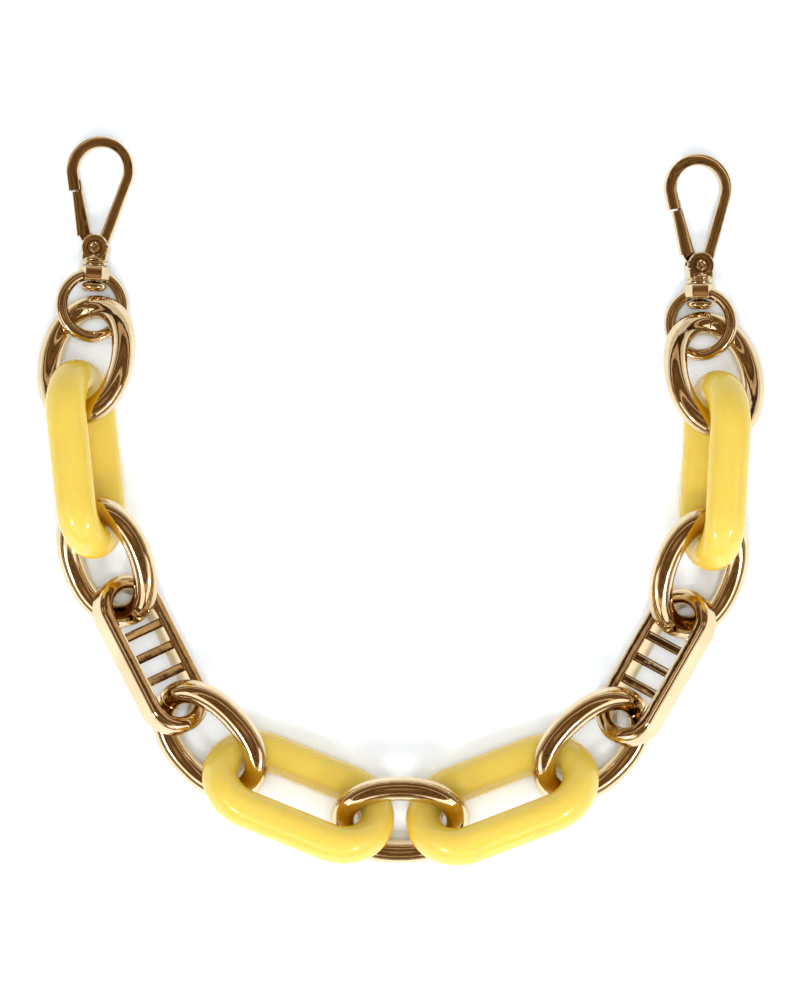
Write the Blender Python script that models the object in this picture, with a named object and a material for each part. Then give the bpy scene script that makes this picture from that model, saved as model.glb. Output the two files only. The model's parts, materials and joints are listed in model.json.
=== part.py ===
"""Short handbag chain strap, laid out flat in a U on a table.

Metal oval links, moulded resin links and barred stadium links alternate along
the chain. A swivel snap hook hangs on each end. Metres, +Z up.

Every link has its own frame: local X runs along the link, away from the middle
of the strap, local Y across it and local Z is the normal of its loop. The hooks
use the same frame, with their swivel axis on local X.
"""
import math

import bmesh
import bpy
from mathutils import Matrix, Vector

MM = 0.001

# Gap kept between touching pieces.
GAP = 0.31 * MM

# Oval link: round bar bent to a closed oval.
OVAL_LENGTH = 42.0 * MM
OVAL_WIDTH = 32.0 * MM
OVAL_BAR_RADIUS = 3.6 * MM
OVAL_SQUARENESS = 2.15

# Resin link: stadium loop with an oval section, deeper than wide.
RESIN_LENGTH = 60.0 * MM
RESIN_WIDTH = 34.6 * MM
RESIN_BAR_WIDTH = 10.8 * MM
RESIN_BAR_DEPTH = 12.2 * MM

# Barred link: deep stadium rim, thicker at its ends, with rungs across it.
BARRED_LENGTH = 51.5 * MM
BARRED_WIDTH = 21.4 * MM
BARRED_DEPTH = 7.4 * MM
BARRED_SIDE_RIM = 4.0 * MM
BARRED_END_RIM = 5.0 * MM
BARRED_CHAMFER = 0.8 * MM
RUNG_COUNT = 3
RUNG_PITCH = 7.4 * MM
RUNG_WIDTH = 2.8 * MM
RUNG_DEPTH = 5.0 * MM

# Swivel eye: a ring whose wire runs into a six-sided barrel on the swivel axis.
RING_RADIUS = 9.5 * MM
RING_WIRE_RADIUS = 1.8 * MM
BARREL_RADIUS = 4.75 * MM
BARREL_SIDES = 6
BARREL_LENGTH = 4.2 * MM
BARREL_BEVEL = 0.35 * MM

# Swivel post: a shank with a peened head below the barrel.
POST_RADIUS = 1.6 * MM
POST_TOP = 4.2 * MM
POST_HEAD_RADIUS = 3.9 * MM
POST_HEAD_NECK = 2.0 * MM
POST_HEAD_BOTTOM = 5.3 * MM
POST_HEAD_BEVEL = 0.9 * MM

# Hook frame, measured along the swivel axis from the middle of the barrel.
COLLAR_RADIUS = 3.9 * MM
COLLAR_TOP = 4.6 * MM
NECK_RADIUS = 3.3 * MM
PIVOT_X = 7.8 * MM
HEAD_RADIUS = 4.1 * MM
HEAD_DEPTH = 5.2 * MM
CHEEK_HALF_WIDTH = 3.6 * MM
SLOT_DEPTH = 2.6 * MM
SLOT_RADIUS = 3.5 * MM
BOW_X = 31.2 * MM
BOW_RADIUS = 8.6 * MM
LEG_SLOPE = math.radians(17.0)
LEG_WIDTH = 3.1 * MM
NOSE_WIDTH = 3.5 * MM
NOSE_X = 24.8 * MM
NOSE_Y = 7.5 * MM
NOTCH_X = 28.2 * MM
NOTCH_Y = 7.3 * MM
FRAME_DEPTH = 3.6 * MM
FRAME_CHAMFER = 0.6 * MM

# Gate lever and its pin and spring.
GATE_ROOT_WIDTH = 4.2 * MM
GATE_TOP_WIDTH = 3.0 * MM
GATE_DEPTH = 3.2 * MM
GATE_ROOT = (11.45 * MM, 3.75 * MM)
GATE_TOP = (24.4 * MM, 6.7 * MM)
TONGUE_WIDTH = 1.2 * MM
TONGUE_DEPTH = 1.6 * MM
TONGUE_TOP = (27.6 * MM, 6.4 * MM)
KNUCKLE_RADIUS = 3.0 * MM
KNUCKLE_LOW = -1.0 * MM
KNUCKLE_HIGH = 0.1 * MM
PIN_RADIUS = 0.8 * MM
PIN_HEAD_RADIUS = 1.7 * MM
PIN_HEAD_DEPTH = 0.6 * MM
SPRING_RADIUS = 1.6 * MM
SPRING_WIRE_RADIUS = 0.1 * MM
SPRING_TURNS = 1.5
SPRING_LOW = 0.52 * MM
SPRING_HIGH = 0.88 * MM

EMPTY_SIZE = 5.0 * MM

# Mesh fineness.
LINK_STATIONS = 32
OVAL_SIDES = 10
RESIN_SIDES = 12
ROUND_SIDES = 24

GOLD = ("gold", (0.83, 0.60, 0.33), 0.12, 1.0)
RESIN = ("yellow_resin", (0.93, 0.70, 0.16), 0.18, 0.0)
STEEL = ("spring_steel", (0.62, 0.62, 0.60), 0.35, 1.0)

# Half lengths from a link's middle to the centre of its end bar, and half the
# width of that bar.
REACH = {
    "oval": (OVAL_LENGTH / 2 - OVAL_BAR_RADIUS, OVAL_BAR_RADIUS),
    "resin": ((RESIN_LENGTH - RESIN_BAR_WIDTH) / 2, RESIN_BAR_WIDTH / 2),
    "barred": ((BARRED_LENGTH - BARRED_END_RIM) / 2, BARRED_END_RIM / 2),
    "eye": (RING_RADIUS, RING_WIRE_RADIUS),
}

# How each side of the strap lies, from the middle outwards: kind of link, its
# heading and the tilts of its loop in degrees, and in millimetres how far it
# hangs back from a taut chain and how far it has slipped to its left.
# Headings turn anticlockwise from +X. A positive roll lifts the side of the
# link that is on the outside of the U; a positive pitch lifts its far end.
MIDDLE_ROLL = -38.0
LEFT_LINKS = [
    ("resin", 158.0, 42.0, 0.0, 0.7, 0.2),
    ("oval", 133.0, -35.0, -4.0, 0.5, -0.2),
    ("barred", 117.0, 34.0, -3.0, 2.4, 0.6),
    ("oval", 108.0, -34.0, 14.0, 2.8, 0.9),
    ("resin", 96.0, 71.0, -1.0, 0.7, 0.4),
    ("oval", 83.0, -28.0, -22.0, 1.6, -0.7),
]
RIGHT_LINKS = [
    ("resin", 21.0, 42.0, 0.0, 0.8, -0.7),
    ("oval", 42.0, -35.0, -5.0, 0.7, 0.7),
    ("barred", 60.0, 38.0, -2.0, 3.3, -0.9),
    ("oval", 73.0, -33.0, 12.0, 2.4, 0.2),
    ("resin", 87.0, 73.0, 3.0, 1.2, 0.0),
    ("oval", 98.0, -25.0, -25.0, 2.3, -0.4),
]
# Numbers of the links, counted for each kind from the strap's left end.
MIDDLE_NUMBER = 4
LEFT_NUMBERS = (2, 3, 1, 2, 1, 1)
RIGHT_NUMBERS = (3, 5, 2, 6, 4, 7)
# Each end: heading, roll of the ring, roll of the hook, pitch, slack, slip and
# the height of the barrel's middle.
LEFT_END = (86.4, 18.0, -9.0, -4.2, 3.2, 0.2, 5.8)
RIGHT_END = (91.0, 17.0, -13.0, -3.6, 3.6, 2.2, 5.9)


def clear_scene():
    for old in list(bpy.data.objects):
        bpy.data.objects.remove(old, do_unlink=True)


def principled(look):
    name, colour, roughness, metallic = look
    material = bpy.data.materials.get(name) or bpy.data.materials.new(name)
    material.use_nodes = True
    shader = material.node_tree.nodes["Principled BSDF"]
    shader.inputs["Base Color"].default_value = (*colour, 1.0)
    shader.inputs["Roughness"].default_value = roughness
    shader.inputs["Metallic"].default_value = metallic
    material.diffuse_color = (*colour, 1.0)
    return material


def finish_mesh(name, bm, look, matrix, sharp=35.0):
    """Turn a bmesh into a smooth-shaded object placed by a matrix."""
    bmesh.ops.recalc_face_normals(bm, faces=bm.faces)
    mesh = bpy.data.meshes.new(name)
    bm.to_mesh(mesh)
    bm.free()
    mesh.shade_smooth()
    mesh.set_sharp_from_angle(angle=math.radians(sharp))
    mesh.materials.append(principled(look))
    obj = bpy.data.objects.new(name, mesh)
    obj.matrix_world = matrix
    bpy.context.scene.collection.objects.link(obj)
    return obj


def hide_cutter(obj):
    obj.hide_render = True
    obj.display_type = "WIRE"


def boolean(obj, operand, operation):
    """Join or cut with an operand, which is kept as a hidden cutter."""
    hide_cutter(operand)
    modifier = obj.modifiers.new(operand.name, "BOOLEAN")
    modifier.operation = operation
    modifier.solver = "EXACT"
    modifier.object = operand


# Outlines in the plane of a loop.

def oval_point(turn, length, width, squareness):
    """Point of a superellipse at a share of a full turn."""
    angle = 2 * math.pi * turn
    power = 2 / squareness
    c, s = math.cos(angle), math.sin(angle)
    x = math.copysign(abs(c) ** power, c) * length / 2
    y = math.copysign(abs(s) ** power, s) * width / 2
    return Vector((x, y, 0))


def stadium(length, width, steps):
    """Closed outline of two half circles and two straights, from its +X end."""
    radius = width / 2
    straight = length / 2 - radius
    quarter = steps // 4
    arc = [radius * Vector((math.cos(a), math.sin(a), 0))
           for a in (math.pi / 2 * i / (quarter - 1) for i in range(quarter))]
    first = [p + Vector((straight, 0, 0)) for p in arc]
    half = first + [Vector((-p.x, p.y, 0)) for p in reversed(first)]
    lower = [Vector((-p.x, -p.y, 0)) for p in half[1:-1]]
    return half + lower


def chamfered_section(half_width, half_depth, chamfer):
    """Eight corners of a bar's section, as (across, up) pairs."""
    w, d, c = half_width, half_depth, chamfer
    return [(w, -d + c), (w, d - c), (w - c, d), (-w + c, d),
            (-w, d - c), (-w, -d + c), (-w + c, -d), (w - c, -d)]


def oval_section(half_width, half_depth, sides):
    return [(half_width * math.cos(2 * math.pi * i / sides),
             half_depth * math.sin(2 * math.pi * i / sides)) for i in range(sides)]


def skin(bm, rings, closed):
    """Join rings of vertices into a tube, with end caps when it is open."""
    count = len(rings)
    last = count if closed else count - 1
    for i in range(last):
        a, b = rings[i], rings[(i + 1) % count]
        for j in range(len(a)):
            k = (j + 1) % len(a)
            bm.faces.new((a[j], a[k], b[k], b[j]))
    if not closed:
        bm.faces.new(list(reversed(rings[0])))
        bm.faces.new(rings[-1])


def tangents(path, closed):
    result = []
    for i in range(len(path)):
        before = path[i - 1] if closed or i > 0 else path[i]
        after = path[(i + 1) % len(path)] if closed or i < len(path) - 1 else path[i]
        result.append((after - before).normalized())
    return result


def sweep(path, sections, closed):
    """Flat path in the XY plane with one section for each of its points."""
    bm = bmesh.new()
    rings = []
    for point, along, section in zip(path, tangents(path, closed), sections):
        across = Vector((along.y, -along.x, 0))
        rings.append([bm.verts.new(point + across * a + Vector((0, 0, b)))
                      for a, b in section])
    skin(bm, rings, closed)
    return bm


def turned(profile, sides=ROUND_SIDES):
    """Solid of revolution about X from (x, radius) pairs, first to last."""
    bm = bmesh.new()
    rings = []
    for x, radius in profile:
        rings.append([bm.verts.new((x, radius * math.cos(2 * math.pi * i / sides),
                                    radius * math.sin(2 * math.pi * i / sides)))
                      for i in range(sides)])
    skin(bm, rings, False)
    return bm


def disc(centre_x, radius, low, high, sides=ROUND_SIDES):
    """Short cylinder about the Z axis of a hook's pivot."""
    bm = bmesh.new()
    depth = high - low
    middle = Matrix.Translation((centre_x, 0, (low + high) / 2))
    bmesh.ops.create_cone(bm, cap_ends=True, segments=sides, radius1=radius,
                          radius2=radius, depth=depth, matrix=middle)
    return bm


def block(low, high):
    bm = bmesh.new()
    bmesh.ops.create_cube(bm, size=1.0)
    size = Vector(high) - Vector(low)
    middle = (Vector(high) + Vector(low)) / 2
    bmesh.ops.scale(bm, vec=size, verts=bm.verts)
    bmesh.ops.translate(bm, vec=middle, verts=bm.verts)
    return bm


# Links.

def oval_mesh():
    length = OVAL_LENGTH - 2 * OVAL_BAR_RADIUS
    width = OVAL_WIDTH - 2 * OVAL_BAR_RADIUS
    path = [oval_point(i / LINK_STATIONS, length, width, OVAL_SQUARENESS)
            for i in range(LINK_STATIONS)]
    section = oval_section(OVAL_BAR_RADIUS, OVAL_BAR_RADIUS, OVAL_SIDES)
    return sweep(path, [section] * len(path), True)


def resin_mesh():
    path = stadium(RESIN_LENGTH - RESIN_BAR_WIDTH, RESIN_WIDTH - RESIN_BAR_WIDTH,
                   LINK_STATIONS)
    section = oval_section(RESIN_BAR_WIDTH / 2, RESIN_BAR_DEPTH / 2, RESIN_SIDES)
    return sweep(path, [section] * len(path), True)


def barred_mesh():
    outer = stadium(BARRED_LENGTH, BARRED_WIDTH, LINK_STATIONS)
    inner = stadium(BARRED_LENGTH - 2 * BARRED_END_RIM,
                    BARRED_WIDTH - 2 * BARRED_SIDE_RIM, LINK_STATIONS)
    bm = bmesh.new()
    rings = []
    for a, b in zip(outer, inner):
        middle = (a + b) / 2
        outward = (a - b).normalized()
        section = chamfered_section((a - b).length / 2, BARRED_DEPTH / 2, BARRED_CHAMFER)
        rings.append([bm.verts.new(middle + outward * across + Vector((0, 0, up)))
                      for across, up in section])
    skin(bm, rings, True)
    return bm


def rung_mesh(x):
    """Straight chamfered bar along Y that ends inside both rims."""
    reach = BARRED_WIDTH / 2 - BARRED_SIDE_RIM / 2
    path = [Vector((x, -reach, 0)), Vector((x, reach, 0))]
    section = chamfered_section(RUNG_WIDTH / 2, RUNG_DEPTH / 2, RUNG_WIDTH / 5)
    return sweep(path, [section] * 2, False)


def make_barred_link(name, matrix):
    link = finish_mesh(name, barred_mesh(), GOLD, matrix)
    for i in range(RUNG_COUNT):
        x = (i - (RUNG_COUNT - 1) / 2) * RUNG_PITCH
        rung = finish_mesh(f"{name}_rung_{i + 1}", rung_mesh(x), GOLD, matrix)
        boolean(link, rung, "UNION")
    return link


def make_link(kind, name, matrix):
    if kind == "barred":
        return make_barred_link(name, matrix)
    if kind == "resin":
        return finish_mesh(name, resin_mesh(), RESIN, matrix)
    return finish_mesh(name, oval_mesh(), GOLD, matrix)


# Hook pieces, in the frame whose X axis is the swivel axis.

def ring_mesh():
    path = [Vector((RING_RADIUS * (math.cos(a) - 1), RING_RADIUS * math.sin(a), 0))
            for a in (2 * math.pi * i / LINK_STATIONS for i in range(LINK_STATIONS))]
    section = oval_section(RING_WIRE_RADIUS, RING_WIRE_RADIUS, OVAL_SIDES)
    return sweep(path, [section] * len(path), True)


def level_turn(matrix):
    """Turn about local X that brings local Z as near to upright as it can be."""
    up = matrix.to_3x3().transposed() @ Vector((0, 0, 1))
    return Matrix.Rotation(math.atan2(-up.y, up.z), 3, "X")


def make_swivel_eye(name, matrix):
    """Ring and barrel in one; a flat of the barrel faces up."""
    half, bevel = BARREL_LENGTH / 2, BARREL_BEVEL
    barrel = [(-half, BARREL_RADIUS - bevel), (-half + bevel, BARREL_RADIUS),
              (half - bevel, BARREL_RADIUS), (half, BARREL_RADIUS - bevel)]
    barrel_mesh = turned(barrel, BARREL_SIDES)
    bmesh.ops.rotate(barrel_mesh, matrix=level_turn(matrix), verts=barrel_mesh.verts)
    eye = finish_mesh(name, barrel_mesh, GOLD, matrix)
    ring = finish_mesh(f"{name}_ring", ring_mesh(), GOLD, matrix)
    boolean(eye, ring, "UNION")
    bore_radius = POST_RADIUS + GAP
    bore = [(-BARREL_LENGTH, bore_radius), (BARREL_LENGTH, bore_radius)]
    cutter = finish_mesh(f"{name}_bore", turned(bore), GOLD, matrix)
    boolean(eye, cutter, "DIFFERENCE")
    return eye


def make_swivel_post(name, matrix):
    under = -BARREL_LENGTH / 2 - GAP
    profile = [(-POST_HEAD_BOTTOM, POST_HEAD_RADIUS * 0.72),
               (-POST_HEAD_BOTTOM + POST_HEAD_BEVEL, POST_HEAD_RADIUS),
               (under - POST_HEAD_BEVEL, POST_HEAD_RADIUS),
               (under, POST_HEAD_NECK),
               (under, POST_RADIUS),
               (POST_TOP, POST_RADIUS)]
    return finish_mesh(name, turned(profile), GOLD, matrix)


def frame_path():
    """Centreline of the hook's bar from the head, round the bow, to the nose."""
    start_angle = -math.pi / 2 - LEG_SLOPE
    end_angle = math.radians(98.0)
    steps = 16
    bow = [Vector((BOW_X + BOW_RADIUS * math.cos(a), BOW_RADIUS * math.sin(a), 0))
           for a in (start_angle + (end_angle - start_angle) * i / steps
                     for i in range(steps + 1))]
    run = bow[0].x - PIVOT_X - 0.5 * MM
    leg_start = bow[0] + Vector((-run, run * math.tan(LEG_SLOPE), 0))
    leg_middle = (leg_start + bow[0]) / 2
    return [leg_start, leg_middle] + bow + [Vector((NOSE_X, NOSE_Y, 0))]


def frame_bar_mesh():
    path = frame_path()
    sections = []
    for point in path:
        share = min(1.0, max(0.0, 0.5 + point.y / BOW_RADIUS / 1.6))
        width = LEG_WIDTH + (NOSE_WIDTH - LEG_WIDTH) * share
        sections.append(chamfered_section(width / 2, FRAME_DEPTH / 2, FRAME_CHAMFER))
    return sweep(path, sections, False)


def make_hook_frame(name, matrix):
    """Head with its fork, collar, neck and bar, as one casting."""
    head = disc(PIVOT_X, HEAD_RADIUS, -HEAD_DEPTH / 2, HEAD_DEPTH / 2)
    frame = finish_mesh(name, head, GOLD, matrix)
    bar = finish_mesh(f"{name}_bar", frame_bar_mesh(), GOLD, matrix)
    boolean(frame, bar, "UNION")
    base = BARREL_LENGTH / 2 + GAP
    collar = [(base, COLLAR_RADIUS - BARREL_BEVEL), (base + BARREL_BEVEL, COLLAR_RADIUS),
              (COLLAR_TOP - BARREL_BEVEL, COLLAR_RADIUS),
              (COLLAR_TOP, COLLAR_RADIUS - BARREL_BEVEL), (COLLAR_TOP, NECK_RADIUS),
              (PIVOT_X - 2.0 * MM, HEAD_DEPTH / 2)]
    neck = finish_mesh(f"{name}_neck", turned(collar), GOLD, matrix)
    boolean(frame, neck, "UNION")
    cheeks = block((COLLAR_TOP - 0.5 * MM, -CHEEK_HALF_WIDTH, -HEAD_DEPTH / 2 + 0.1 * MM),
                   (PIVOT_X, CHEEK_HALF_WIDTH, HEAD_DEPTH / 2 - 0.1 * MM))
    boolean(frame, finish_mesh(f"{name}_cheeks", cheeks, GOLD, matrix), "UNION")
    cutters = {
        "slot": disc(PIVOT_X, SLOT_RADIUS, -SLOT_DEPTH / 2, SLOT_DEPTH / 2),
        "mouth": block((PIVOT_X, -0.4 * MM, -SLOT_DEPTH / 2),
                       (PIVOT_X + 6.0 * MM, 7.0 * MM, SLOT_DEPTH / 2)),
        "side": block((PIVOT_X, 0, -SLOT_DEPTH / 2),
                      (PIVOT_X + 3.0 * MM, 5.0 * MM, SLOT_DEPTH / 2)),
        "notch": block((NOSE_X - 2 * MM, NOTCH_Y - 4 * MM, -TONGUE_DEPTH / 2 - GAP),
                       (NOTCH_X, NOTCH_Y, TONGUE_DEPTH / 2 + GAP)),
        "hole": disc(PIVOT_X, PIN_RADIUS + GAP, -HEAD_DEPTH, HEAD_DEPTH),
        "seat_low": disc(PIVOT_X, PIN_HEAD_RADIUS + GAP, -HEAD_DEPTH,
                         -HEAD_DEPTH / 2 + PIN_HEAD_DEPTH),
        "seat_high": disc(PIVOT_X, PIN_HEAD_RADIUS + GAP,
                          HEAD_DEPTH / 2 - PIN_HEAD_DEPTH, HEAD_DEPTH),
        "socket": turned([(0, POST_RADIUS + GAP), (POST_TOP + GAP, POST_RADIUS + GAP)]),
    }
    for label, bm in cutters.items():
        boolean(frame, finish_mesh(f"{name}_{label}", bm, GOLD, matrix), "DIFFERENCE")
    return frame


def make_gate(name, matrix):
    """Lever with a thin knuckle in the fork and a tongue behind the nose."""
    root, top = Vector((*GATE_ROOT, 0)), Vector((*GATE_TOP, 0))
    sections = [chamfered_section(width / 2, GATE_DEPTH / 2, FRAME_CHAMFER)
                for width in (GATE_ROOT_WIDTH, GATE_TOP_WIDTH)]
    gate = finish_mesh(name, sweep([root, top], sections, False), GOLD, matrix)
    tongue_section = chamfered_section(TONGUE_WIDTH / 2, TONGUE_DEPTH / 2, TONGUE_WIDTH / 5)
    below = Vector((GATE_TOP[0] - 2.0 * MM, TONGUE_TOP[1] - 0.9 * MM, 0))
    tongue_path = [below, Vector((*TONGUE_TOP, 0))]
    tongue = finish_mesh(f"{name}_tongue", sweep(tongue_path, [tongue_section] * 2, False),
                         GOLD, matrix)
    boolean(gate, tongue, "UNION")
    knuckle = finish_mesh(f"{name}_knuckle",
                          disc(PIVOT_X, KNUCKLE_RADIUS, KNUCKLE_LOW, KNUCKLE_HIGH),
                          GOLD, matrix)
    boolean(gate, knuckle, "UNION")
    hub = Vector((PIVOT_X, 0.9 * MM, (KNUCKLE_LOW + KNUCKLE_HIGH) / 2))
    end = root + (top - root).normalized() * 1.2 * MM
    end.z = hub.z
    web_section = chamfered_section(GATE_ROOT_WIDTH / 2 - 0.3 * MM,
                                    (KNUCKLE_HIGH - KNUCKLE_LOW) / 2, 0.1 * MM)
    web = finish_mesh(f"{name}_web", sweep([hub, end], [web_section] * 2, False),
                      GOLD, matrix)
    boolean(gate, web, "UNION")
    hole = finish_mesh(f"{name}_hole", disc(PIVOT_X, PIN_RADIUS + GAP, -HEAD_DEPTH,
                                            HEAD_DEPTH), GOLD, matrix)
    boolean(gate, hole, "DIFFERENCE")
    return gate


def make_gate_pin(name, matrix):
    half = HEAD_DEPTH / 2
    inside = half - PIN_HEAD_DEPTH + GAP
    profile = [(-half, PIN_HEAD_RADIUS), (-inside, PIN_HEAD_RADIUS),
               (-inside, PIN_RADIUS), (inside, PIN_RADIUS),
               (inside, PIN_HEAD_RADIUS), (half, PIN_HEAD_RADIUS)]
    upright = Matrix.Translation((PIVOT_X, 0, 0)) @ Matrix.Rotation(-math.pi / 2, 4, "Y")
    return finish_mesh(name, turned(profile, 16), GOLD, matrix @ upright)


def make_gate_spring(name, matrix):
    """Torsion spring round the pin, as a round wire along a short helix."""
    steps = 22
    path = []
    for i in range(steps + 1):
        angle = math.radians(60.0) + 2 * math.pi * SPRING_TURNS * i / steps
        height = SPRING_LOW + (SPRING_HIGH - SPRING_LOW) * i / steps
        path.append(Vector((PIVOT_X + SPRING_RADIUS * math.cos(angle),
                            SPRING_RADIUS * math.sin(angle), height)))
    bm = bmesh.new()
    rings = []
    for point, along in zip(path, tangents(path, False)):
        across = along.cross(Vector((0, 0, 1))).normalized()
        up = across.cross(along)
        rings.append([bm.verts.new(point + across * a + up * b)
                      for a, b in oval_section(SPRING_WIRE_RADIUS, SPRING_WIRE_RADIUS, 6)])
    skin(bm, rings, False)
    return finish_mesh(name, bm, STEEL, matrix)


# Laying the chain out.

def tilt(heading, roll, pitch):
    """Rotation of a link from its heading, its pitch and its roll, in degrees."""
    turn = Matrix.Rotation(math.radians(heading), 4, "Z")
    nod = Matrix.Rotation(-math.radians(pitch), 4, "Y")
    lean = Matrix.Rotation(math.radians(roll), 4, "X")
    return turn @ nod @ lean


def rest_height(kind, rotation):
    """Height at which a tilted link's lowest point touches the table."""
    makers = {"oval": oval_mesh, "resin": resin_mesh, "barred": barred_mesh}
    bm = makers[kind]()
    lowest = min((rotation @ vertex.co).z for vertex in bm.verts)
    bm.free()
    return -lowest


def next_bar(parent_kind, parent_matrix, kind, heading, slack, slip):
    """Where the next link's near end bar lies inside the parent's far end."""
    reach, half_bar = REACH[parent_kind]
    far = parent_matrix @ Vector((reach, 0, 0))
    along = parent_matrix.to_3x3() @ Vector((1, 0, 0))
    parent_heading = math.atan2(along.y, along.x)
    pull = (parent_heading + math.radians(heading)) / 2
    if abs(parent_heading - math.radians(heading)) > math.pi:
        pull += math.pi
    back = half_bar + REACH[kind][1] + GAP + slack * MM
    forward = Vector((math.cos(pull), math.sin(pull), 0))
    leftward = Vector((-math.sin(pull), math.cos(pull), 0))
    return far - back * forward + slip * MM * leftward


def lay_links(middle, links, outer_sign):
    """Matrices of one side's links, from the middle link outwards."""
    placed = []
    parent_kind, parent = "oval", middle
    for kind, heading, roll, pitch, slack, slip in links:
        rotation = tilt(heading, roll * outer_sign, pitch)
        near = next_bar(parent_kind, parent, kind, heading, slack, slip)
        centre = near + rotation.to_3x3() @ Vector((REACH[kind][0], 0, 0))
        centre.z = rest_height(kind, rotation)
        parent = Matrix.Translation(centre) @ rotation
        parent_kind = kind
        placed.append((kind, parent))
    return placed


def lay_end(last, end, outer_sign):
    """Matrices of the swivel eye and of the hook at one end of the chain."""
    heading, ring_roll, hook_roll, pitch, slack, slip, height = end
    near = next_bar("oval", last, "eye", heading, slack, slip)
    axis = tilt(heading, 0, pitch)
    barrel = near + axis.to_3x3() @ Vector((2 * RING_RADIUS, 0, 0))
    barrel.z = height * MM
    place = Matrix.Translation(barrel)
    return (place @ tilt(heading, ring_roll * outer_sign, pitch),
            place @ tilt(heading, hook_roll * outer_sign, pitch))


def hang(obj, point):
    """Parent an object to its own empty at a point of its joint's axis."""
    empty = bpy.data.objects.new(f"{obj.name}_joint", None)
    empty.empty_display_size = EMPTY_SIZE
    empty.location = point
    bpy.context.scene.collection.objects.link(empty)
    obj.matrix_basis = Matrix.Translation(-point) @ obj.matrix_basis
    obj.parent = empty


def far_bar(kind, matrix):
    """Middle of a link's far end bar, about which the next link turns."""
    return matrix @ Vector((REACH[kind][0], 0, 0))


def make_end(side, last, eye_matrix, hook_matrix):
    """The eye on the chain's last link, and the hook that turns on the eye."""
    swivel = hook_matrix.to_translation()
    eye = make_swivel_eye(f"{side}_swivel_eye", eye_matrix)
    hang(eye, far_bar("oval", last))
    for piece, make in (("swivel_post", make_swivel_post), ("hook_frame", make_hook_frame),
                        ("gate_pin", make_gate_pin), ("gate_spring", make_gate_spring)):
        hang(make(f"{side}_{piece}", hook_matrix), swivel)
    gate = make_gate(f"{side}_gate", hook_matrix)
    hang(gate, hook_matrix @ Vector((PIVOT_X, 0, 0)))


def make_side(middle, side_links, numbers):
    """One side's links, each hung on the far end bar of the link before it."""
    parent_kind, parent = "oval", middle
    for (kind, matrix), number in zip(side_links, numbers):
        link = make_link(kind, f"{kind}_link_{number}", matrix)
        hang(link, far_bar(parent_kind, parent))
        parent_kind, parent = kind, matrix


def centre_origin():
    """Move the whole so that its origin lies under the middle of its box."""
    bpy.context.view_layer.update()
    graph = bpy.context.evaluated_depsgraph_get()
    points = []
    for obj in bpy.data.objects:
        if obj.type != "MESH" or obj.hide_render:
            continue
        shape = obj.evaluated_get(graph)
        points += [shape.matrix_world @ vertex.co for vertex in shape.to_mesh().vertices]
        shape.to_mesh_clear()
    low = Vector([min(p[i] for p in points) for i in range(3)])
    high = Vector([max(p[i] for p in points) for i in range(3)])
    shift = Matrix.Translation((-(low.x + high.x) / 2, -(low.y + high.y) / 2, -low.z))
    for obj in bpy.data.objects:
        if obj.parent is None:
            obj.matrix_basis = shift @ obj.matrix_basis
    bpy.context.view_layer.update()


def main():
    clear_scene()
    middle_rotation = tilt(0, -MIDDLE_ROLL, 0)
    height = rest_height("oval", middle_rotation)
    middle = Matrix.Translation((0, 0, height)) @ middle_rotation
    turned_middle = middle @ Matrix.Rotation(math.pi, 4, "Z")
    left = lay_links(turned_middle, LEFT_LINKS, 1)
    right = lay_links(middle, RIGHT_LINKS, -1)
    make_link("oval", f"oval_link_{MIDDLE_NUMBER}", middle)
    make_side(turned_middle, left, LEFT_NUMBERS)
    make_side(middle, right, RIGHT_NUMBERS)
    make_end("left", left[-1][1], *lay_end(left[-1][1], LEFT_END, 1))
    make_end("right", right[-1][1], *lay_end(right[-1][1], RIGHT_END, -1))
    centre_origin()


main()
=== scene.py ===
"""Looks of the bag chain strap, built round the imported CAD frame.

Each link and each hook piece is rebuilt as a fine smooth mesh in its own local
frame and placed where its CAD node lies. Local X runs along the link, Y across
it and Z is the normal of its loop; the hooks use the same frame with X on the
swivel axis. Metres, +Z up.
"""

import json
import math

import bmesh
import bpy
import numpy as np
from mathutils import Matrix, Vector


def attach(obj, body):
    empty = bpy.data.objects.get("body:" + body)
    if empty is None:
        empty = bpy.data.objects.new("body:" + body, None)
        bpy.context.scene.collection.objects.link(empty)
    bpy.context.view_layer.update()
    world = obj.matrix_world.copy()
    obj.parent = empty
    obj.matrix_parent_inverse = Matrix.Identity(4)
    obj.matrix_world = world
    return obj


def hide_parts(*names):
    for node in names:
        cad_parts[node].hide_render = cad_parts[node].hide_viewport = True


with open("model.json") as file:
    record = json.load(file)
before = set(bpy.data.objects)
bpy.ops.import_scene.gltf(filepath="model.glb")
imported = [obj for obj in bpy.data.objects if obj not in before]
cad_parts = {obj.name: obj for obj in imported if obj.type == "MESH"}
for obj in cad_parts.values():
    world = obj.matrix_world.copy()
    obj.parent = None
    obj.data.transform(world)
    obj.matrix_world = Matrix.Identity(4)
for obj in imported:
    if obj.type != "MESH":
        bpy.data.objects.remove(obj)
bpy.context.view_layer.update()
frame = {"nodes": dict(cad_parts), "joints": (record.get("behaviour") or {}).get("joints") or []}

MM = 0.001
GAP = 0.31 * MM                 # room between parts that move, as in the CAD

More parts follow.
